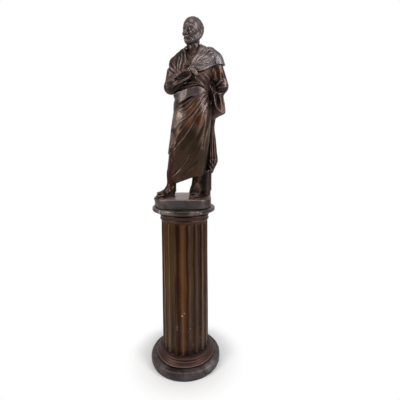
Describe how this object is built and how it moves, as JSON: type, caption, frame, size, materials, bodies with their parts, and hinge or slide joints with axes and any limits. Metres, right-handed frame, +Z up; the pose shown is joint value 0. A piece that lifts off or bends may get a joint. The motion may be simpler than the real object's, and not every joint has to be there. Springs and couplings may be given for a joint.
{
  "type": "draped standing figure on a fluted column pedestal",
  "caption": "Standing bearded man in a wrapped mantle, cast in plaster with a bronze finish, on an oval plinth over a fluted column with a round foot.",
  "frame": {"origin": "centre of the underside of the column's round foot, on the column's axis", "axes": "+Z up along the column, -Y towards the viewer the figure faces, +X to the viewer's right"},
  "size_m": [0.4954, 0.462, 2.1158],
  "materials": {
    "figure_patina": "plaster with a dark bronze patina, satin, rubbed ridges",
    "cap_patina": "plaster with a grey bronze patina, satin",
    "shaft_patina": "plaster with a brown bronze patina, satin, streaked",
    "foot_patina": "plaster with a grey brown patina, satin"
  },
  "bodies": {
    "root": {"draped_figure": "figure_patina", "column_cap": "cap_patina", "column_shaft": "shaft_patina", "column_foot": "foot_patina"}
  },
  "joints": []
}
